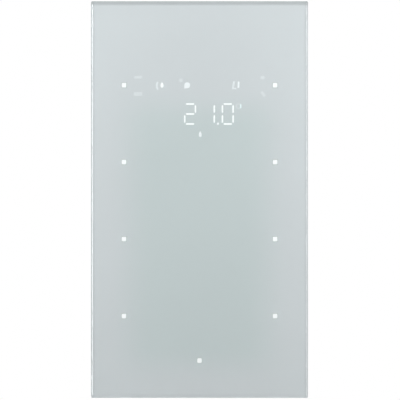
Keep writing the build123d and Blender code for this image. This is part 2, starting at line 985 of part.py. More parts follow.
def support_plate():
    outline = rounded(plate_w, plate_h, plate_corner_r)
    window = chamfer(Rectangle(plate_window, plate_window).vertices(), length=window_corner)
    outline -= Pos(0, turret_z) * window
    outline -= [Pos(x, z) * SlotOverall(slot_l, slot_w) for x, z in box_screw_places]
    for side, z in latch_places.values():
        outline -= Pos(side * plate_w / 2, z) * Rectangle(2 * tab_root, tab_w + 2 * relief_w)
    outline -= Pos(0, -plate_h / 2) * Rectangle(lock_tab_w + 2 * relief_w, 2 * tab_root)
    plate = slab(outline, 0, plate_t)
    edge = plate_w / 2
    path = FilletPolyline(
        (edge - tab_root, plate_t / 2),
        (edge - plate_t / 2, plate_t / 2),
        (edge - plate_t / 2, tab_tip),
        radius=tab_bend_r,
    )
    profile = trace(path, line_width=plate_t)
    for side, z in latch_places.values():
        plate += mirrored(floor_band(profile, z, tab_w), side)
    return plate + lock_tab()


def lock_tab():
    """The bottom tab, bent forward, whose hole the locking screw enters."""
    edge = -plate_h / 2
    path = FilletPolyline(
        (edge + tab_root, plate_t / 2),
        (edge + plate_t / 2, plate_t / 2),
        (edge + plate_t / 2, tab_tip),
        radius=tab_bend_r,
    )
    tab = side_band(trace(path, line_width=plate_t), 0, lock_tab_w)
    return tab - floor_bore(lock_hole_r, edge - overrun, edge + plate_t + overrun)


def latch_spring(side, z):
    """A leaf welded to the tab, with a bulge that springs out behind the ridge."""
    seat = plate_w / 2 + spring_t / 2
    nose = (spring_top() + spring_bottom()) / 2
    path = Polyline(
        (seat, tab_tip + overrun),
        (seat, spring_top()),
        (seat + spring_bulge, nose + spring_nose_l / 2),
        (seat + spring_bulge, nose - spring_nose_l / 2),
        (seat, spring_bottom()),
        (seat, plate_front - overrun),
    )
    profile = make_face(offset(path, amount=spring_t / 2, kind=Kind.INTERSECTION, side=Side.BOTH))
    leaf = floor_band(profile, z, spring_w)
    leaf &= block(seat, z, 2 * (spring_bulge + spring_t), spring_w, spring_bottom(), tab_tip)
    return mirrored(leaf, side)


# Locking screw

def lock_insert():
    sleeve = floor_bar(insert_size, boss_inner_z() - insert_l, boss_inner_z())
    bore = floor_bore(lock_screw_r + insert_play, boss_inner_z() - insert_l, boss_inner_z())
    return sleeve - bore


def locking_screw():
    """The screw as delivered, backed out of the plate's tab by its travel."""
    tip = -plate_h / 2 - lock_rest_gap
    head_seat = lock_head_h + fit_gap - body_h / 2 - lock_travel
    screw = floor_bore(lock_screw_r, head_seat, tip)
    screw += floor_bore(lock_head_r, head_seat - lock_head_h, head_seat)
    slot_high = head_seat - lock_head_h / 2
    slot_low = head_seat - lock_head_h
    slot = Rectangle(2 * lock_head_r, slot_cut_w)
    sketch = floor_plane(slot_high) * (Pos(0, lock_level) * slot)
    return screw - extrude(sketch, amount=slot_high - slot_low)


def all_nodes():
    nodes = {
        "glass_panel": glass_panel(),
        "back_print": back_print(),
        "bonding_tape": bonding_tape(),
        "touch_foil": touch_foil(),
        "carrier_frame": carrier_frame(),
        "display_light_box": display_light_box(),
        "display_film": display_film(),
        "display_leds": display_leds(),
        "status_leds": status_leds(),
        "main_board": main_board(),
        "main_controller": main_controller(),
        "touch_controller": touch_controller(),
        "crystal": crystal(),
        "foil_connector": foil_connector(),
        "board_passives": board_passives(),
        "temperature_probe": temperature_probe(),
        "rear_cover": rear_cover(),
        "cover_screws": cover_screws(),
        "coupler_board": coupler_board(),
        "board_header": board_header(),
        "bus_transceiver": bus_transceiver(),
        "storage_capacitor": storage_capacitor(),
        "choke": choke(),
        "bus_pins": bus_pins(),
        "programming_switch": programming_switch(),
        "programming_button": programming_button(),
        "programming_led": programming_led(),
        "bus_terminal_red": bus_terminal(-1),
        "bus_terminal_grey": bus_terminal(1),
        "support_plate": support_plate(),
        "lock_insert": lock_insert(),
        "locking_screw": locking_screw(),
    }
    for name, place in guide_places.items():
        nodes[name] = light_guide(*place)
    for corner, place in latch_places.items():
        nodes[f"latch_spring_{corner}"] = latch_spring(*place)
    return nodes


os.makedirs("parts", exist_ok=True)
for name, piece in all_nodes().items():
    if isinstance(piece, list):
        piece = Compound(children=piece)
    export_step(piece, f"parts/{name}.step")
    print(name, round(piece.volume, 2))
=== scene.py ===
import json
import math

import bmesh
import bpy
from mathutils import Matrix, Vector


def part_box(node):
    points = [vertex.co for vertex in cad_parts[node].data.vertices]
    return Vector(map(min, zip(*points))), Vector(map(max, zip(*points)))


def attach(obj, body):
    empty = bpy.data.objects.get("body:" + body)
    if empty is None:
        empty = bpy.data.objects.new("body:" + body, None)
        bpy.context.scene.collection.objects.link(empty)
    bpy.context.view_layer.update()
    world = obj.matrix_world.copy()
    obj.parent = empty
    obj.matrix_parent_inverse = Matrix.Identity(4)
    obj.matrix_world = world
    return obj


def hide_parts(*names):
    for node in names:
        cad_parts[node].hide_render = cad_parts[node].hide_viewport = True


# The frame: metres, +X to the right and +Z up as seen from the front, which looks along -Y
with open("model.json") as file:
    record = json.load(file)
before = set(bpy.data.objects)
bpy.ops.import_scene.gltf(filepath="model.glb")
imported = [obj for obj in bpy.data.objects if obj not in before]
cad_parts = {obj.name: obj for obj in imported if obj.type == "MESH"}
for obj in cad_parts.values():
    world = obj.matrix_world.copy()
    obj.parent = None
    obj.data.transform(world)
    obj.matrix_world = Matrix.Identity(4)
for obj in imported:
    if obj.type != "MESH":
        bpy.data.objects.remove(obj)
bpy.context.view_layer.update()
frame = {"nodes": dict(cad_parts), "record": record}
MM = 0.001

# The photograph: its side, where the glass lies in it and how wide it is, and the lens
PHOTO_PX = 400
PANEL_CENTRE_PX = (199.5, 199.6)
PANEL_WIDTH_PX = 217.0
LENS_MM = 200.0
SENSOR_MM = 36.0
CLIP_END = 20.0

# Levels and outlines taken from the frame
glass_lo, glass_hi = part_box("glass_panel")
print_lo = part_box("back_print")[0]
screws_lo, screws_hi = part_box("cover_screws")
GLASS_W = glass_hi.x - glass_lo.x
GLASS_H = glass_hi.z - glass_lo.z

# Bevelled edge of the glass, as insets from its outline and depths from its face
BEVEL_INSETS = (1.3 * MM, 0.78 * MM, 0.38 * MM, 0.0)
BEVEL_DEPTHS = (0.0, 0.14 * MM, 0.43 * MM, 0.9 * MM)
BACK_ARRIS = 0.2 * MM
GLASS_CORNER_R = 0.5 * MM

# A face of the pane belongs to its satin edge if less than this share of its normal lies along Y
EDGE_TILT_SHARE = 0.5

# Countersunk screws with a cross recess
SCREW_HEAD_R = 1.9 * MM
SCREW_RIM = 0.12 * MM
SCREW_R = 1.0 * MM
SCREW_HEAD_H = 1.0 * MM
THREAD_PITCH = 0.6 * MM
THREAD_DEPTH = 0.15 * MM
RECESS_REACH = 1.15 * MM
RECESS_W = 0.5 * MM
RECESS_DEPTH = 0.75 * MM
RECESS_TAPER_SHARE = 0.55
TOOL_CLEAR = 0.2 * MM

# Steps round a screw, along a curved symbol and round the corner of a rectangle
SCREW_STEPS = 40
CURVE_STEPS = 16
CORNER_STEPS = 4

# Lit shapes are sunk a little into the print's face, and stand in the gap behind the glass
LIT_SINK = 0.01 * MM
LIT_PROUD = 0.03 * MM

# Seven-segment digits, placed in pitches from the middle of the glass
DIGIT_PITCH = 7.66 * MM
DIGIT_Z = 34.8 * MM
SEGMENT_COLUMN = 4.35 * MM
SEGMENT_ROW = 4.05 * MM
SEGMENT_GAP = 0.75 * MM
SEGMENT_W = 0.64 * MM
READOUT = {-0.5: "abged", 0.5: "bc", 1.5: "abcdef"}

# Lit windows over the light guides
WINDOW_SIZE = 1.92 * MM
WINDOW_R = 0.3 * MM

# Symbols, in millimetres from the middle of the glass, and angles in degrees from +X.
# A point has a centre, a side and a corner radius, and a bar has two ends and a width.
# An arc has a centre, a radius and a width, and a leaf a centre, a radius and its point's reach.
# Ovals and drops have a centre, a width and a height.
POINT_MM = (7.5, 30.85, 0.9, 0.25)
DEGREE_BAR_MM = (16.73, 37.1, 16.73, 38.9, 0.6)
DEGREE_RING_MM = (15.9, 38.0, 0.95, 0.35)
DEGREE_RING_SPAN = (60, 300)
ARC_MM = (-14.8, 46.3, 2.6, 0.75)
ARC_SPAN = (145, 218)
ARC_DROP_MM = (-15.25, 46.65, 1.7, 2.3)
FAN_MM = (-5.0, 46.5, 1.2, 1.85)
FAN_TURN = 228
FAN_DOT_MM = (-7.55, 48.45, 1.6, 1.6)
HOOK_MM = ((13.15, 44.85), (15.0, 44.85), (15.0, 45.4), (14.05, 45.5), (14.45, 48.1), (13.65, 48.1))
HOOK_BAR_MM = (15.8, 45.4, 15.9, 48.0, 0.75)
LOW_DROP_MM = (0.3, 26.7, 1.6, 2.5)
MARK_BARS_MM = (
    (-26.6, 49.7, -23.4, 49.8, 1.1),
    (-26.7, 42.9, -23.3, 43.0, 1.5),
    (25.1, 43.8, 26.6, 42.0, 1.1),
)
MARK_OVAL_MM = (25.6, 49.6, 1.9, 1.5)

# Lacquer behind the glass, and the shares of its tone left where shade is painted on it: in the middle,
# where less light reaches it, and the bevel's shadow along the sides and the top
LACQUER = (0.578, 0.602, 0.622)
MIDDLE_SHADE_SHARES = (0.9, 0.955, 0.935)
SIDE_SHADOW_SHARES = (0.92, 0.92, 0.92)
TOP_SHADOW_SHARES = (0.75, 0.75, 0.75)
MIDDLE_Z = -15 * MM
MIDDLE_REACH_X = (18 * MM, 38 * MM)
MIDDLE_REACH_Z = (44 * MM, 61 * MM)
RIM_START = 1.85 * MM
RIM_FULL = 1.0 * MM
LACQUER_SPECULAR = 0.2

# Lit shapes: the colour of their light, and its strength
LIGHTS = {
    "lit_bright": ((1.0, 1.0, 0.97), 0.42),
    "lit_plain": ((0.98, 1.0, 1.0), 0.28),
    "lit_soft": ((0.98, 1.0, 1.0), 0.17),
    "lit_faint": ((0.98, 1.0, 1.0), 0.09),
    "lit_cyan": ((0.75, 1.0, 0.98), 0.28),
}

# Clear materials: colour, colour of the light they pass on, roughness, refraction, clear share
GLASS_TINT = (0.965, 0.98, 0.978)
EDGE_TINT = (0.47, 0.54, 0.52)
FOIL_TINT = (0.9, 0.9, 0.86)
GUIDE_TINT = (0.95, 0.97, 0.97)
CLEARS = {
    "float_glass": (GLASS_TINT, GLASS_TINT, 0.0, 1.52, 1.0),
    "glass_edge": (EDGE_TINT, GLASS_TINT, 0.35, 1.52, 0.3),
    "polyester_foil": (FOIL_TINT, FOIL_TINT, 0.1, 1.5, 1.0),
    "clear_guide": (GUIDE_TINT, GUIDE_TINT, 0.05, 1.49, 1.0),
}

# Moulded materials: colour and roughness
MOULDED = {
    "black_foam": ((0.02, 0.02, 0.021), 0.85),
    "white_housing": ((0.58, 0.6, 0.6), 0.48),
    "white_reflector": ((0.8, 0.8, 0.8), 0.5),
    "milky_film": ((0.76, 0.77, 0.77), 0.6),
    "lamp_chip": ((0.8, 0.7, 0.33), 0.3),
    "chip_black": ((0.018, 0.018, 0.02), 0.45),
    "connector_plastic": ((0.05, 0.05, 0.052), 0.5),
    "probe_bead": ((0.35, 0.14, 0.04), 0.25),
    "grey_cover": ((0.085, 0.09, 0.095), 0.5),
    "button_grey": ((0.45, 0.45, 0.43), 0.35),
    "red_lens": ((0.5, 0.01, 0.008), 0.12),
    "red_terminal": ((0.42, 0.012, 0.01), 0.4),
    "dark_terminal": ((0.035, 0.037, 0.04), 0.42),
}

# Metals: colour and roughness
METALS = {
    "tinned_metal": ((0.7, 0.71, 0.72), 0.25),
    "brass": ((0.72, 0.5, 0.2), 0.28),
    "spring_steel": ((0.42, 0.42, 0.43), 0.25),
    "zinc_screw": ((0.62, 0.63, 0.64), 0.25),
}
ZINC_TINT = (0.56, 0.575, 0.59)
SPANGLE_SCALE = 650

# Circuit board: two tones of solder mask and the tracks under it
BOARD_TINTS = {
    "Color1": (0.012, 0.085, 0.045),
    "Color2": (0.016, 0.1, 0.052),
    "Mortar": (0.03, 0.16, 0.08),
}
TRACK_SCALE = 260
TRACK_SHARE = 0.03

# Noise patterns: scale and detail
CLOUDS = (60, 3)
ERODED = (2500, 4)
FOAMED = (900, 4)
ROLLED = (900, 4)
ZINC_GRAIN = (400, 3)
LACQUER_CLOUDS = (22, 2)
LACQUER_GRAIN = (4000, 2)
LIT_GRAIN = (900, 2)
BOARD_GRAIN = (700, 2)
DRAWN_OUT = (1, 1, 12)

# Heights of the relief that the patterns give
ERODED_DEPTH = 0.012 * MM
FOAMED_DEPTH = 0.05 * MM
LENS_DEPTH = 0.002 * MM
ROLLED_DEPTH = 0.006 * MM
ZINC_DEPTH = 0.01 * MM

# Where in a pattern its two tones lie, and how far the tones go either side of the colour
TONE_SHARES = (0.3, 0.7)
MOULDED_SPREAD_SHARE = 0.03
METAL_SPREAD_SHARE = 0.06
ZINC_SPREAD_SHARE = 0.09
LACQUER_SPREAD_SHARE = 0.012
LIT_SPREAD_SHARE = 0.02

# Roughness: how far a texture carries it either side of the table's, the two ends, or one value
MOULDED_ROUGHNESS_SPAN = (-0.06, 0.08)
METAL_ROUGHNESS_SPAN = (-0.08, 0.12)
ZINC_ROUGHNESS = (0.34, 0.46)
LACQUER_ROUGHNESS = (0.42, 0.5)
BOARD_ROUGHNESS = (0.28, 0.38)
LIT_ROUGHNESS = 0.6
FLOOR_ROUGHNESS = 0.9

# Lamps: place, the point each is turned to, its width and height, and its power in watts
TOP_LAMP = ((0.02, -0.2, 0.34), (0, 0, 0.06), (0.3, 0.1), 1.12)
REAR_LAMP = ((0.3, 1.1, 0.8), (0, 0, 0), (1.6, 1.2), 11.0)
WINGS = {
    "wing_left": ((-0.13, -0.08, 0.01), (0, -0.012, 0), (0.06, 0.2), 0.07),
    "wing_right": ((0.13, -0.08, 0.01), (0, -0.012, 0), (0.06, 0.2), 0.08),
}
STRIP_REACH = 0.127
STRIP_SIZE = (0.008, 0.2)
STRIP_WATTS = {-1: 0.042, 1: 0.02}

# Surroundings: levels of light, and the share of a direction along Y where the cards fade out and in
AMBIENT = 0.28
ROOM = 0.35
CARD_EDGE_SHARES = (0.86, 0.95)

# Floor: its level and half its side, the distances between which it fades into white, and its tone
FLOOR_LEVEL = -0.14
FLOOR_HALF = 8.0
FLOOR_FADE = (0.12, 0.4)
FLOOR_TINT = (0.8, 0.8, 0.8)


# Shader nodes

def shader(name):
    """A node material with its Principled node."""
    mat = bpy.data.materials.new(name)
    mat.use_nodes = True
    tree = mat.node_tree
    return mat, tree, tree.nodes["Principled BSDF"]


def feed(tree, socket, value):
    """Links another node's output to a socket, or sets a plain value on it."""
    if isinstance(value, bpy.types.NodeSocket):
        tree.links.new(value, socket)
    else:
        socket.default_value = value


def worked(tree, kind, operation, values, result):
    """The result of an operation on outputs and plain values."""
    node = tree.nodes.new(kind)
    node.operation = operation
    for socket, value in zip(node.inputs, values):
        feed(tree, socket, value)
    return node.outputs[result]


def number(tree, operation, *values):
    return worked(tree, "ShaderNodeMath", operation, values, "Value")


def vector(tree, operation, *values):
    return worked(tree, "ShaderNodeVectorMath", operation, values, "Vector")


def carried(tree, value, source=(0, 1), target=(0, 1), kind="LINEAR"):
    """A value carried over from one range to another, and kept within it."""
    node = tree.nodes.new("ShaderNodeMapRange")
    node.interpolation_type = kind
    names = ("Value", "From Min", "From Max", "To Min", "To Max")
    for name, setting in zip(names, (value, *source, *target)):
        feed(tree, node.inputs[name], setting)
    return node.outputs["Result"]


def mixed(tree, share, first, second):
    """The first shader, giving way to the second by a share."""
    mix = tree.nodes.new("ShaderNodeMixShader")
    for socket, value in zip(mix.inputs, (share, first, second)):
        feed(tree, socket, value)
    return mix.outputs["Shader"]


def any_ray(tree, *kinds):
    """One for rays of any of these kinds, nothing for the rest."""
    paths = tree.nodes.new("ShaderNodeLightPath")
    total = paths.outputs[kinds[0]]
    for kind in kinds[1:]:
        total = number(tree, "MAXIMUM", total, paths.outputs[kind])
    return total


def axes(tree, direction):
    """The three components of a vector."""
    split = tree.nodes.new("ShaderNodeSeparateXYZ")
    tree.links.new(direction, split.inputs["Vector"])
    return split.outputs


def mapped(tree, stretch=(1, 1, 1), turn=(0, 0, 0)):
    """The piece's own coordinates, stretched and turned."""
    coords = tree.nodes.new("ShaderNodeTexCoord")
    mapping = tree.nodes.new("ShaderNodeMapping")
    mapping.inputs["Scale"].default_value = stretch
    mapping.inputs["Rotation"].default_value = turn
    tree.links.new(coords.outputs["Object"], mapping.inputs["Vector"])
    return mapping.outputs["Vector"]


def noise(tree, pattern, stretch=(1, 1, 1)):
    texture = tree.nodes.new("ShaderNodeTexNoise")
    scale, detail = pattern
    texture.inputs["Scale"].default_value = scale
    texture.inputs["Detail"].default_value = detail
    tree.links.new(mapped(tree, stretch), texture.inputs["Vector"])
    return texture.outputs["Fac"]


def tinted(tree, principled, value, colour, spread_share):
    """Colour that varies a little either side of its mean."""
    ramp = tree.nodes.new("ShaderNodeValToRGB")
    low, high = ramp.color_ramp.elements
    low.position, high.position = TONE_SHARES
    low.color = [c * (1 - spread_share) for c in colour] + [1]
    high.color = [min(c * (1 + spread_share), 1) for c in colour] + [1]
    tree.links.new(value, ramp.inputs["Fac"])
    tree.links.new(ramp.outputs["Color"], principled.inputs["Base Color"])


def varied(tree, principled, value, low, high):
    """Roughness that varies between two values."""
    tree.links.new(carried(tree, value, target=(low, high)), principled.inputs["Roughness"])


def bumped(tree, principled, value, depth):
    """Fine relief."""
    bump = tree.nodes.new("ShaderNodeBump")
    bump.inputs["Distance"].default_value = depth
    tree.links.new(value, bump.inputs["Height"])
    tree.links.new(bump.outputs["Normal"], principled.inputs["Normal"])


# Materials

def moulded(name, pattern=ERODED, depth=ERODED_DEPTH):
    """Moulded plastic with a fine eroded texture."""
    colour, roughness = MOULDED[name]
    low, high = MOULDED_ROUGHNESS_SPAN
    mat, tree, principled = shader(name)
    tinted(tree, principled, noise(tree, CLOUDS), colour, MOULDED_SPREAD_SHARE)
    fine = noise(tree, pattern)
    varied(tree, principled, fine, roughness + low, roughness + high)
    bumped(tree, principled, fine, depth)
    return mat


def metal(name, stretch=(1, 1, 1)):
    """Metal with rolling or turning marks."""
    colour, roughness = METALS[name]
    low, high = METAL_ROUGHNESS_SPAN
    mat, tree, principled = shader(name)
    principled.inputs["Metallic"].default_value = 1.0
    marks = noise(tree, ROLLED, stretch)
    tinted(tree, principled, marks, colour, METAL_SPREAD_SHARE)
    varied(tree, principled, marks, roughness + low, roughness + high)
    bumped(tree, principled, marks, ROLLED_DEPTH)
    return mat


def galvanised(name):
    """Zinc-coated sheet with a fine, pale, angular spangle."""
    mat, tree, principled = shader(name)
    principled.inputs["Metallic"].default_value = 1.0
    cells = tree.nodes.new("ShaderNodeTexVoronoi")
    cells.inputs["Scale"].default_value = SPANGLE_SCALE
    tree.links.new(mapped(tree), cells.inputs["Vector"])
    grey = tree.nodes.new("ShaderNodeRGBToBW")
    tree.links.new(cells.outputs["Color"], grey.inputs["Color"])
    tinted(tree, principled, grey.outputs["Val"], ZINC_TINT, ZINC_SPREAD_SHARE)
    varied(tree, principled, grey.outputs["Val"], *ZINC_ROUGHNESS)
    bumped(tree, principled, noise(tree, ZINC_GRAIN), ZINC_DEPTH)
    return mat


def clear(name):
    """Glass or clear plastic that lets the lamps through to what lies behind it, satin if less clear."""
    colour, passed, roughness, refraction, clear_share = CLEARS[name]
    mat, tree, principled = shader(name)
    principled.inputs["Base Color"].default_value = (*colour, 1)
    principled.inputs["Roughness"].default_value = roughness
    principled.inputs["IOR"].default_value = refraction
    principled.inputs["Transmission Weight"].default_value = clear_share
    through = tree.nodes.new("ShaderNodeBsdfTransparent")
    through.inputs["Color"].default_value = (*passed, 1)
    lamplight = any_ray(tree, "Is Shadow Ray", "Is Diffuse Ray")
    surface = mixed(tree, lamplight, principled.outputs["BSDF"], through.outputs["BSDF"])
    tree.links.new(surface, tree.nodes["Material Output"].inputs["Surface"])
    return mat


def inside(tree, axis, centre, reach):
    """One within a band about a centre along an axis, fading to nothing at its limits."""
    away = number(tree, "ABSOLUTE", number(tree, "SUBTRACT", axis, centre))
    return carried(tree, away, source=(reach[1], reach[0]), kind="SMOOTHSTEP")


def rim(tree, axis, centre, edge):
    """One at the rim of the glass, fading to nothing a little way in, on both sides of a centre: the
    mask of the bevel's painted shadow.
    """
    half = edge - centre
    return inside(tree, axis, centre, (half - RIM_FULL, half - RIM_START))


def painted_shade(tree, principled, amount, shares):
    """Painted shade: shares of the colour where the amount is one, and all of it where the amount is
    nothing.
    """
    losses = [share - 1 for share in shares]
    factor = vector(tree, "MULTIPLY_ADD", amount, losses, (1, 1, 1))
    colour = principled.inputs["Base Color"]
    tree.links.new(vector(tree, "MULTIPLY", colour.links[0].from_socket, factor), colour)


def lacquer(name):
    """Silver-grey lacquer behind the glass: faintly cloudy, with painted shade in the middle and the
    bevel's painted shadow along the rim.
    """
    mat, tree, principled = shader(name)
    principled.inputs["Specular IOR Level"].default_value = LACQUER_SPECULAR
    tinted(tree, principled, noise(tree, LACQUER_CLOUDS), LACQUER, LACQUER_SPREAD_SHARE)
    varied(tree, principled, noise(tree, LACQUER_GRAIN), *LACQUER_ROUGHNESS)
    place = axes(tree, mapped(tree))
    # Painted shade in the middle, where less light reaches the lacquer than near the polished edges
    across = inside(tree, place["X"], 0, MIDDLE_REACH_X)
    upward = inside(tree, place["Z"], MIDDLE_Z, MIDDLE_REACH_Z)
    painted_shade(tree, principled, number(tree, "MULTIPLY", across, upward), MIDDLE_SHADE_SHARES)
    # Painted shadow of the bevel along the sides, and darkest along the top
    painted_shade(tree, principled, rim(tree, place["X"], 0, glass_hi.x), SIDE_SHADOW_SHARES)
    painted_shade(tree, principled, rim(tree, place["Z"], MIDDLE_Z, glass_hi.z), TOP_SHADOW_SHARES)
    return mat


def lit(name):
    """A lit shape: the lacquer's tone, and bright by itself."""
    colour, strength = LIGHTS[name]
    mat, tree, principled = shader(name)
    tinted(tree, principled, noise(tree, LIT_GRAIN), LACQUER, LIT_SPREAD_SHARE)
    principled.inputs["Roughness"].default_value = LIT_ROUGHNESS
    principled.inputs["Emission Color"].default_value = (*colour, 1)
    principled.inputs["Emission Strength"].default_value = strength
    return mat


def board(name):
    """Green solder mask with copper tracks showing through as paler lines."""
    mat, tree, principled = shader(name)
    tracks = tree.nodes.new("ShaderNodeTexBrick")
    for socket, tint in BOARD_TINTS.items():
        tracks.inputs[socket].default_value = (*tint, 1)
    tracks.inputs["Scale"].default_value = TRACK_SCALE
    tracks.inputs["Mortar Size"].default_value = TRACK_SHARE
    tree.links.new(mapped(tree, turn=(math.pi / 2, 0, 0)), tracks.inputs["Vector"])
    tree.links.new(tracks.outputs["Color"], principled.inputs["Base Color"])
    varied(tree, principled, noise(tree, BOARD_GRAIN), *BOARD_ROUGHNESS)
    return mat


def make_materials():
    """A material for each slot of the record, and one for the edge of the pane."""
    return {
        "glass": clear("float_glass"),
        "glass_edge": clear("glass_edge"),
        "silver_print": lacquer("silver_lacquer"),
        "black_foam_tape": moulded("black_foam", FOAMED, FOAMED_DEPTH),
        "clear_foil": clear("polyester_foil"),
        "white_housing": moulded("white_housing"),
        "white_reflector": moulded("white_reflector"),
        "diffuser": moulded("milky_film"),
        "lamp_chip": moulded("lamp_chip"),
        "clear_guide": clear("clear_guide"),
        "circuit_board": board("circuit_board"),
        "chip_black": moulded("chip_black"),
        "connector_plastic": moulded("connector_plastic"),
        "tinned_metal": metal("tinned_metal"),
        "probe_bead": moulded("probe_bead"),
        "grey_cover": moulded("grey_cover"),
        "button_grey": moulded("button_grey"),
        "red_lens": moulded("red_lens", depth=LENS_DEPTH),
        "red_terminal": moulded("red_terminal"),
        "dark_terminal": moulded("dark_terminal"),
        "brass": metal("brass"),
        "galvanised_plate": galvanised("galvanised_plate"),
        "spring_steel": metal("spring_steel", DRAWN_OUT),
        "zinc_screw": metal("zinc_screw"),
    }


def dress_nodes(materials):
    """Every node takes the material of its slot in the record."""
    for part in frame["record"]["subparts"]:
        node = frame["nodes"][part["node"]]
        node.data.materials.clear()
        node.data.materials.append(materials[part["material_slot"]])


# Pieces from loops of points

def skinned(name, stacks, material):
    """One piece of closed solids, each through a stack of equal loops and capped at both ends."""
    mesh = bpy.data.meshes.new(name)
    shape = bmesh.new()
    for loops in stacks:
        rows = [[shape.verts.new(point) for point in loop] for loop in loops]
        count = len(rows[0])
        for low, high in zip(rows, rows[1:]):
            for i in range(count):
                j = (i + 1) % count
                shape.faces.new((low[i], low[j], high[j], high[i]))
        shape.faces.new(rows[0][::-1])
        shape.faces.new(rows[-1])
    bmesh.ops.recalc_face_normals(shape, faces=shape.faces)
    shape.to_mesh(mesh)
    shape.free()
    mesh.materials.append(material)
    piece = bpy.data.objects.new(name, mesh)
    bpy.context.scene.collection.objects.link(piece)
    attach(piece, "sensor_head")
    return piece


def lifted(outline, y):
    """A flat outline's points at a depth."""
    return [(x, y, z) for x, z in outline]


def lit_piece(name, outlines, material):
    """Thin prisms over flat outlines, on the print's front face."""
    levels = (print_lo.y + LIT_SINK, print_lo.y - LIT_PROUD)
    stacks = [[lifted(outline, y) for y in levels] for outline in outlines]
    return skinned(name, stacks, material)


# Flat outlines

def rounded(x, z, width, height, radius):
    """A rounded rectangle, counter-clockwise from its right side."""
    points = []
    for turn in range(4):
        side_x = 1 if turn in (0, 3) else -1
        side_z = 1 if turn in (0, 1) else -1
        corner_x = x + side_x * (width / 2 - radius)
        corner_z = z + side_z * (height / 2 - radius)
        for step in range(CORNER_STEPS + 1):
            angle = math.pi / 2 * (turn + step / CORNER_STEPS)
            points.append((corner_x + radius * math.cos(angle), corner_z + radius * math.sin(angle)))
    return points


def arc_band(x, z, radius, width, start, stop):
    """A band along an arc."""
    outer = []
    inner = []
    for step in range(CURVE_STEPS + 1):
        angle = math.radians(start + (stop - start) * step / CURVE_STEPS)
        out = (math.cos(angle), math.sin(angle))
        outer.append((x + (radius + width / 2) * out[0], z + (radius + width / 2) * out[1]))
        inner.append((x + (radius - width / 2) * out[0], z + (radius - width / 2) * out[1]))
    return outer + inner[::-1]


def bar(x0, z0, x1, z1, width):
    """A straight stroke between two points."""
    run = Vector((x1 - x0, z1 - z0))
    side = Vector((-run.y, run.x)).normalized() * width / 2
    return [
        (x0 + side.x, z0 + side.y),
        (x0 - side.x, z0 - side.y),
        (x1 - side.x, z1 - side.y),
        (x1 + side.x, z1 + side.y),
    ]


def oval(x, z, width, height, steps=CURVE_STEPS):
    turns = [2 * math.pi * step / steps for step in range(steps)]
    return [(x + width / 2 * math.cos(t), z + height / 2 * math.sin(t)) for t in turns]


def drop(x, z, width, height):
    """A drop with its point up."""
    points = []
    for step in range(CURVE_STEPS):
        angle = 2 * math.pi * step / CURVE_STEPS
        swell = abs(math.sin(angle / 2))
        points.append((x - width / 2 * math.sin(angle) * swell, z + height / 2 * math.cos(angle)))
    return points


def leaf(x, z, radius, reach, turn):
    """A disc drawn out to a point on one side."""
    tip = math.radians(turn)
    spread = math.acos(radius / reach)
    points = [(x + reach * math.cos(tip), z + reach * math.sin(tip))]
    for step in range(CURVE_STEPS + 1):
        angle = tip + spread + 2 * (math.pi - spread) * step / CURVE_STEPS
        points.append((x + radius * math.cos(angle), z + radius * math.sin(angle)))
    return points


def millimetres(values):
    return [value * MM for value in values]


# Display

def segment(x, z, flat):
    """A bar of a digit with pointed ends."""
    reach = (SEGMENT_COLUMN if flat else SEGMENT_ROW) / 2 - SEGMENT_GAP / 2
    half = SEGMENT_W / 2
    shoulder = reach - half
    points = [
        (-reach, 0),
        (-shoulder, -half),
        (shoulder, -half),
        (reach, 0),
        (shoulder, half),
        (-shoulder, half),
    ]
    turned = points if flat else [(-up, across) for across, up in points]
    return [(x + across, z + up) for across, up in turned]


def digit(x, bars):
    """The outlines of a digit's lit bars, lettered a to g from the top round to the middle."""
    column = SEGMENT_COLUMN / 2
    row = SEGMENT_ROW
    places = {
        "a": (0, row, True),
        "b": (column, row / 2, False),
        "c": (column, -row / 2, False),
        "d": (0, -row, True),
        "e": (-column, -row / 2, False),
        "f": (-column, row / 2, False),
        "g": (0, 0, True),
    }
    outlines = []
    for letter in bars:
        across, up, flat = places[letter]
        outlines.append(segment(x + across, DIGIT_Z + up, flat))
    return outlines


def window_outlines():
    """The lit windows, centred on the light guides."""
    outlines = []
    for name in sorted(frame["nodes"]):
        if name.endswith("_guide") or "_guide_" in name:
            lo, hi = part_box(name)
            middle = (lo + hi) / 2
            outlines.append(rounded(middle.x, middle.z, WINDOW_SIZE, WINDOW_SIZE, WINDOW_R))
    return outlines


def make_display():
    """The lit digits, windows and symbols, and the unlit symbols that show faintly by a painted glow."""
    bright = lit("lit_bright")
    plain = lit("lit_plain")
    soft = lit("lit_soft")
    faint = lit("lit_faint")
    cyan = lit("lit_cyan")
    lit_piece("status_windows", window_outlines(), bright)
    bars = []
    for place, letters in READOUT.items():
        bars += digit(place * DIGIT_PITCH, letters)
    lit_piece("display_digits", bars, bright)
    x, z, size, radius = millimetres(POINT_MM)
    lit_piece("decimal_point", [rounded(x, z, size, size, radius)], plain)
    lit_piece("degree_bar", [bar(*millimetres(DEGREE_BAR_MM))], cyan)
    lit_piece("degree_ring", [arc_band(*millimetres(DEGREE_RING_MM), *DEGREE_RING_SPAN)], faint)
    lit_piece("symbol_arc", [arc_band(*millimetres(ARC_MM), *ARC_SPAN)], soft)
    lit_piece("symbol_arc_drop", [drop(*millimetres(ARC_DROP_MM))], bright)
    lit_piece("symbol_fan", [leaf(*millimetres(FAN_MM), FAN_TURN)], plain)
    lit_piece("symbol_fan_dot", [oval(*millimetres(FAN_DOT_MM))], faint)
    lit_piece("symbol_hook", [[millimetres(point) for point in HOOK_MM]], soft)
    lit_piece("symbol_hook_bar", [bar(*millimetres(HOOK_BAR_MM))], plain)
    lit_piece("symbol_drop", [drop(*millimetres(LOW_DROP_MM))], plain)
    # The unlit marks are given a faint painted glow
    marks = [bar(*millimetres(mark)) for mark in MARK_BARS_MM]
    marks.append(oval(*millimetres(MARK_OVAL_MM)))
    lit_piece("faint_marks", marks, faint)


# Glass and screws

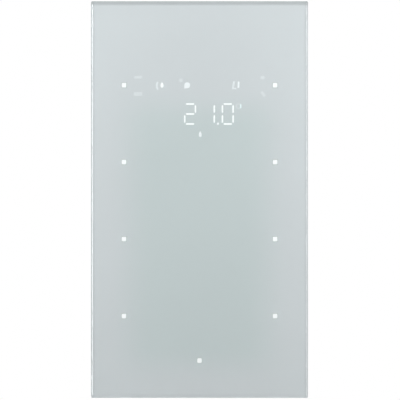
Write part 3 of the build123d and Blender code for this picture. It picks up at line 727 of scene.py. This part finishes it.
def make_glass(materials):
    """The pane: three polished facets in front, ever steeper, a satin edge and a fine arris behind."""
    stations = [(inset, glass_lo.y + depth) for inset, depth in zip(BEVEL_INSETS, BEVEL_DEPTHS)]
    stations += [(0, glass_hi.y - BACK_ARRIS), (BACK_ARRIS, glass_hi.y)]
    loops = []
    for inset, y in stations:
        outline = rounded(0, 0, GLASS_W - 2 * inset, GLASS_H - 2 * inset, GLASS_CORNER_R)
        loops.append(lifted(outline, y))
    pane = skinned("glass_pane", [loops], materials["glass"])
    pane.data.materials.append(materials["glass_edge"])
    for face in pane.data.polygons:
        if abs(face.normal.y) < EDGE_TILT_SHARE:
            face.material_index = 1
    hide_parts("glass_panel")


def screw_loops(x, z):
    """A screw from its flat head to its tip, with its thread as ridges round the shank."""
    seat = screws_hi.y
    tip = screws_lo.y
    profile = [
        (SCREW_HEAD_R - SCREW_RIM, seat),
        (SCREW_HEAD_R, seat - SCREW_RIM),
        (SCREW_R, seat - SCREW_HEAD_H),
    ]
    level = seat - SCREW_HEAD_H - THREAD_PITCH
    while level > tip + THREAD_PITCH:
        profile.append((SCREW_R - THREAD_DEPTH, level + THREAD_PITCH / 2))
        profile.append((SCREW_R, level))
        level -= THREAD_PITCH
    profile.append((SCREW_R - 2 * THREAD_DEPTH, tip))
    return [lifted(oval(x, z, 2 * radius, 2 * radius, SCREW_STEPS), y) for radius, y in profile]


def cross(x, z, share):
    """A cross-shaped outline, scaled about its middle."""
    reach = RECESS_REACH * share
    half = RECESS_W / 2 * share
    arm = [(reach, -half), (reach, half), (half, half)]
    points = []
    for _ in range(4):
        points += [(x + across, z + up) for across, up in arm]
        arm = [(-up, across) for across, up in arm]
    return points


def recess_loops(x, z):
    """The cross recess, tapering inward from just above the head."""
    seat = screws_hi.y
    levels = ((seat + TOOL_CLEAR, 1), (seat, 1), (seat - RECESS_DEPTH, RECESS_TAPER_SHARE))
    return [lifted(cross(x, z, share), y) for y, share in levels]


def carve(piece, tool):
    """Cuts the tool out of the piece and deletes it."""
    cut = piece.modifiers.new("cut", "BOOLEAN")
    cut.operation = "DIFFERENCE"
    cut.solver = "EXACT"
    cut.object = tool
    graph = bpy.context.evaluated_depsgraph_get()
    carved = bpy.data.meshes.new_from_object(piece.evaluated_get(graph))
    piece.modifiers.clear()
    piece.data = carved
    bpy.data.objects.remove(tool)


def make_screws(materials):
    """The four cover screws, one near each corner, with their recesses cut in."""
    reach_x = screws_hi.x - SCREW_HEAD_R
    reach_z = screws_hi.z - SCREW_HEAD_R
    places = [(side * reach_x, end * reach_z) for side in (-1, 1) for end in (-1, 1)]
    zinc = materials["zinc_screw"]
    screws = skinned("recessed_screws", [screw_loops(*place) for place in places], zinc)
    tool = skinned("recess_tool", [recess_loops(*place) for place in places], zinc)
    carve(screws, tool)
    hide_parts("cover_screws")


# Camera and lamps

def make_camera():
    """A camera square to the front, at the distance that gives the glass its width in the photograph."""
    data = bpy.data.cameras.new("camera")
    data.lens = LENS_MM
    data.sensor_width = SENSOR_MM
    data.clip_end = CLIP_END
    camera = bpy.data.objects.new("camera", data)
    bpy.context.scene.collection.objects.link(camera)
    scale = GLASS_W / PANEL_WIDTH_PX
    distance = scale * PHOTO_PX * LENS_MM / SENSOR_MM
    x = (PHOTO_PX / 2 - PANEL_CENTRE_PX[0]) * scale
    z = (PANEL_CENTRE_PX[1] - PHOTO_PX / 2) * scale
    camera.location = (x, glass_lo.y - distance, z)
    camera.rotation_euler = (math.pi / 2, 0, 0)
    bpy.context.scene.camera = camera


def area_lamp(name, place, target, size, watts):
    """A rectangular lamp that the camera doesn't see."""
    data = bpy.data.lights.new(name, "AREA")
    data.shape = "RECTANGLE"
    data.size, data.size_y = size
    data.energy = watts
    lamp = bpy.data.objects.new(name, data)
    lamp.location = place
    lamp.visible_camera = False
    aim = Vector(target) - Vector(place)
    lamp.rotation_euler = aim.to_track_quat("-Z", "Y").to_euler()
    bpy.context.scene.collection.objects.link(lamp)
    return lamp


def strip(side, watts):
    """A narrow upright lamp just where the middle facet of the bevel mirrors it to the camera."""
    run = BEVEL_INSETS[1] - BEVEL_INSETS[2]
    slope = math.atan2(BEVEL_DEPTHS[2] - BEVEL_DEPTHS[1], run)
    edge = side * GLASS_W / 2
    camera = bpy.context.scene.camera.location
    angle = 2 * slope + math.atan2(GLASS_W / 2, glass_lo.y - camera.y)
    x = edge + side * STRIP_REACH * math.sin(angle)
    y = glass_lo.y - STRIP_REACH * math.cos(angle)
    area_lamp("strip", (x, y, 0), (edge, glass_lo.y, 0), STRIP_SIZE, watts)


def make_lamps():
    """A lamp over the top edge, one behind, a wing at each side, and strips that the bevels mirror."""
    area_lamp("top", *TOP_LAMP)
    area_lamp("rear", *REAR_LAMP)
    for name, settings in WINGS.items():
        wing = area_lamp(name, *settings)
        wing.visible_glossy = False
        wing.visible_transmission = False
    for side, watts in STRIP_WATTS.items():
        strip(side, watts)


# Surroundings

def cards(tree, direction):
    """What a mirror meets in a direction: white cards in front and behind, a dimmer room between."""
    depth = number(tree, "ABSOLUTE", axes(tree, direction)["Y"])
    return carried(tree, depth, source=CARD_EDGE_SHARES, target=(ROOM, 1))


def background(tree, strength):
    node = tree.nodes.new("ShaderNodeBackground")
    node.inputs["Color"].default_value = (1, 1, 1, 1)
    feed(tree, node.inputs["Strength"], strength)
    return node.outputs["Background"]


def make_world():
    """White where the surroundings are seen, cards and room in reflections, soft light elsewhere."""
    world = bpy.data.worlds.new("world")
    bpy.context.scene.world = world
    world.use_nodes = True
    tree = world.node_tree
    tree.nodes.clear()
    coords = tree.nodes.new("ShaderNodeTexCoord")
    reflected = background(tree, cards(tree, coords.outputs["Generated"]))
    seen = any_ray(tree, "Is Camera Ray", "Is Transmission Ray")
    shown = mixed(tree, seen, background(tree, AMBIENT), background(tree, 1))
    mirrored = mixed(tree, any_ray(tree, "Is Glossy Ray"), shown, reflected)
    output = tree.nodes.new("ShaderNodeOutputWorld")
    tree.links.new(mirrored, output.inputs["Surface"])


def far_floor(tree, place):
    """Glow of the floor further off: as the cards there in a mirror, and white otherwise."""
    level = cards(tree, vector(tree, "NORMALIZE", place))
    glow = tree.nodes.new("ShaderNodeEmission")
    strength = carried(tree, any_ray(tree, "Is Glossy Ray"), target=(1, level))
    tree.links.new(strength, glow.inputs["Strength"])
    return glow.outputs["Emission"]


def make_floor():
    """A pale floor below the panel that takes its shadow and fades into white further off."""
    ends = (-FLOOR_HALF, FLOOR_HALF)
    corners = [(x, y, FLOOR_LEVEL) for x in ends for y in ends]
    mesh = bpy.data.meshes.new("floor")
    mesh.from_pydata(corners, [], [(0, 2, 3, 1)])
    floor = bpy.data.objects.new("floor", mesh)
    bpy.context.scene.collection.objects.link(floor)
    mat, tree, principled = shader("floor_white")
    principled.inputs["Base Color"].default_value = (*FLOOR_TINT, 1)
    principled.inputs["Roughness"].default_value = FLOOR_ROUGHNESS
    place = mapped(tree, stretch=(1, 1, 0))
    distance = worked(tree, "ShaderNodeVectorMath", "LENGTH", [place], "Value")
    seen = any_ray(tree, "Is Camera Ray", "Is Glossy Ray", "Is Transmission Ray")
    glowing = number(tree, "MULTIPLY", carried(tree, distance, source=FLOOR_FADE), seen)
    surface = mixed(tree, glowing, principled.outputs["BSDF"], far_floor(tree, place))
    tree.links.new(surface, tree.nodes["Material Output"].inputs["Surface"])
    mesh.materials.append(mat)


materials = make_materials()
dress_nodes(materials)
make_glass(materials)
make_screws(materials)
make_display()
make_camera()
make_lamps()
make_world()
make_floor()
bpy.context.scene.view_settings.view_transform = "Standard"
